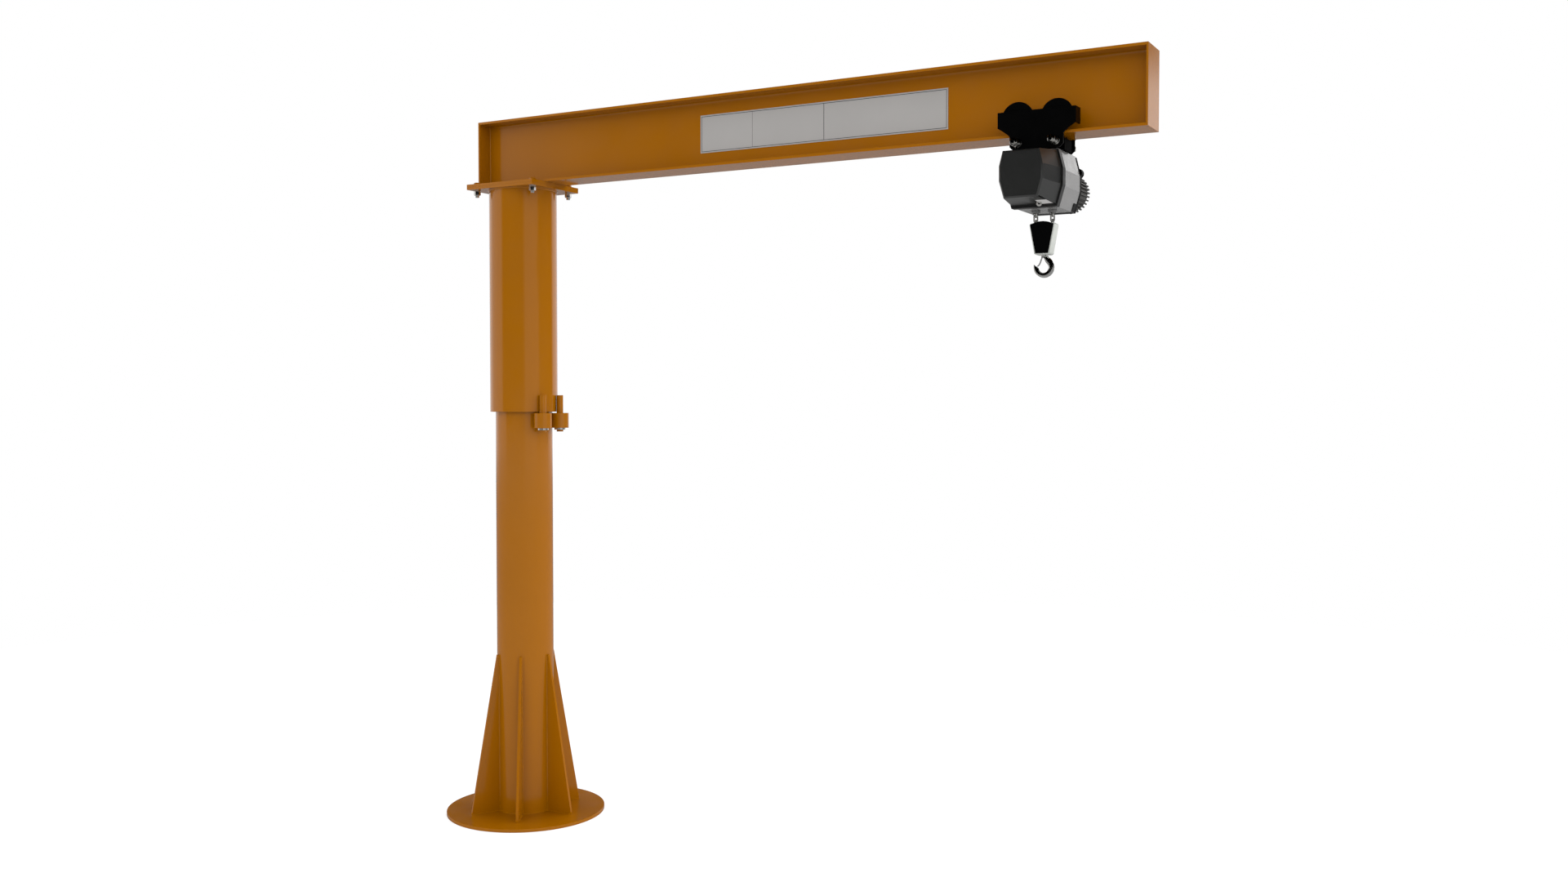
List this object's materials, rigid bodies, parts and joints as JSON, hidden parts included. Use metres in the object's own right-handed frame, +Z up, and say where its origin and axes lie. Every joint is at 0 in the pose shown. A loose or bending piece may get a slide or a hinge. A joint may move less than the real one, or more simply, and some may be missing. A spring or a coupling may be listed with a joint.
{
  "type": "free-standing jib crane with electric chain hoist",
  "caption": "Round mast with a turning sleeve and I-beam boom, carrying a push trolley, a faceted electric chain hoist and a latched hook.",
  "frame": {"origin": "centre of the round base plate's flat underside, on the mast's axis", "axes": "+Z up the mast, +X along the boom from the mast to its tip at rest, +Y to the motor side of the hoist"},
  "size_m": [3.4379, 0.762, 3.3614],
  "materials": {
    "orange_paint": "glossy orange-yellow enamel",
    "black_paint": "satin black enamel",
    "cover_plastic": "fine-grained charcoal moulding",
    "cast_silver": "silver painted die casting",
    "motor_black": "dark painted finned casting",
    "zinc_steel": "bright plated steel",
    "machined_steel": "turned steel",
    "bronze": "turned bronze",
    "block_silver": "silver paint"
  },
  "bodies": {
    "mast": {"base_plate": "orange_paint", "gusset_1": "orange_paint", "gusset_2": "orange_paint", "gusset_3": "orange_paint", "gusset_4": "orange_paint", "gusset_5": "orange_paint", "gusset_6": "orange_paint", "mast_pipe": "orange_paint", "mast_cap": "orange_paint", "thrust_washer": "bronze", "pivot_pin": "machined_steel"},
    "jib": {"sleeve": "orange_paint", "pivot_hub": "machined_steel", "sleeve_plate": "orange_paint", "boom_seat_plate": "orange_paint", "boom_beam": "orange_paint", "heel_plate": "orange_paint", "tip_plate": "orange_paint", "roller_pin_left": "orange_paint", "roller_pin_right": "orange_paint"},
    "guide_roller_left": {"guide_roller_left": "orange_paint"},
    "guide_roller_right": {"guide_roller_right": "orange_paint"},
    "trolley": {"trolley_plate_front": "black_paint", "trolley_plate_back": "black_paint", "suspension_rod_left": "zinc_steel", "suspension_rod_right": "zinc_steel", "suspension_lug": "black_paint", "hoist_front_cover": "cover_plastic", "hoist_rim": "black_paint", "hoist_body": "cast_silver", "hoist_end_plate": "black_paint", "motor_housing": "motor_black", "cable_entry": "black_paint", "chain_guide": "black_paint", "load_chain": "zinc_steel", "hook_block": "block_silver", "block_cheek_front": "black_paint", "block_cheek_back": "black_paint"},
    "hook": {"hook": "black_paint"},
    "safety_latch": {"safety_latch": "zinc_steel"},
    "wheel_front_inner": {"wheel_front_inner": "black_paint"},
    "wheel_front_outer": {"wheel_front_outer": "black_paint"},
    "wheel_back_inner": {"wheel_back_inner": "black_paint"},
    "wheel_back_outer": {"wheel_back_outer": "black_paint"}
  },
  "joints": [
    {"name": "jib_swing", "type": "hinge", "parent": "mast", "child": "jib", "pos_m": [0, 0, 3], "axis": [0, 0, 1], "continuous": true},
    {"name": "left_roller_spin", "type": "hinge", "parent": "jib", "child": "guide_roller_left", "pos_m": [0.16692, 0.06575, 1.9], "axis": [0, 0, 1], "continuous": true},
    {"name": "right_roller_spin", "type": "hinge", "parent": "jib", "child": "guide_roller_right", "pos_m": [0.16692, -0.06575, 1.9], "axis": [0, 0, 1], "continuous": true},
    {"name": "trolley_travel", "type": "slide", "parent": "jib", "child": "trolley", "axis": [1, 0, 0], "range_m": [-2.31, 0.255]},
    {"name": "wheel_front_inner_spin", "type": "hinge", "parent": "trolley", "child": "wheel_front_inner", "pos_m": [2.546, -0.0925, 3.118], "axis": [0, 1, 0], "continuous": true},
    {"name": "wheel_front_outer_spin", "type": "hinge", "parent": "trolley", "child": "wheel_front_outer", "pos_m": [2.706, -0.0925, 3.118], "axis": [0, 1, 0], "continuous": true},
    {"name": "wheel_back_inner_spin", "type": "hinge", "parent": "trolley", "child": "wheel_back_inner", "pos_m": [2.546, 0.0925, 3.118], "axis": [0, 1, 0], "continuous": true},
    {"name": "wheel_back_outer_spin", "type": "hinge", "parent": "trolley", "child": "wheel_back_outer", "pos_m": [2.706, 0.0925, 3.118], "axis": [0, 1, 0], "continuous": true},
    {"name": "hook_swivel", "type": "hinge", "parent": "trolley", "child": "hook", "pos_m": [2.626, 0, 2.5886], "axis": [0, 0, 1], "continuous": true},
    {"name": "latch_hinge", "type": "hinge", "parent": "hook", "child": "safety_latch", "pos_m": [2.6198, 0, 2.5798], "axis": [0, -1, 0], "range_deg": [0, 30], "stiffness_Nm_per_rad": 0.02, "springref_deg": -17.19}
  ],
  "couplings": [
    {"joint": "left_roller_spin", "follows": "jib_swing", "ratio": 3.2042},
    {"joint": "right_roller_spin", "follows": "jib_swing", "ratio": 3.2042},
    {"joint": "wheel_front_inner_spin", "follows": "trolley_travel", "rad_per_m": 17.094},
    {"joint": "wheel_front_outer_spin", "follows": "trolley_travel", "rad_per_m": 17.094},
    {"joint": "wheel_back_inner_spin", "follows": "trolley_travel", "rad_per_m": 17.094},
    {"joint": "wheel_back_outer_spin", "follows": "trolley_travel", "rad_per_m": 17.094}
  ]
}
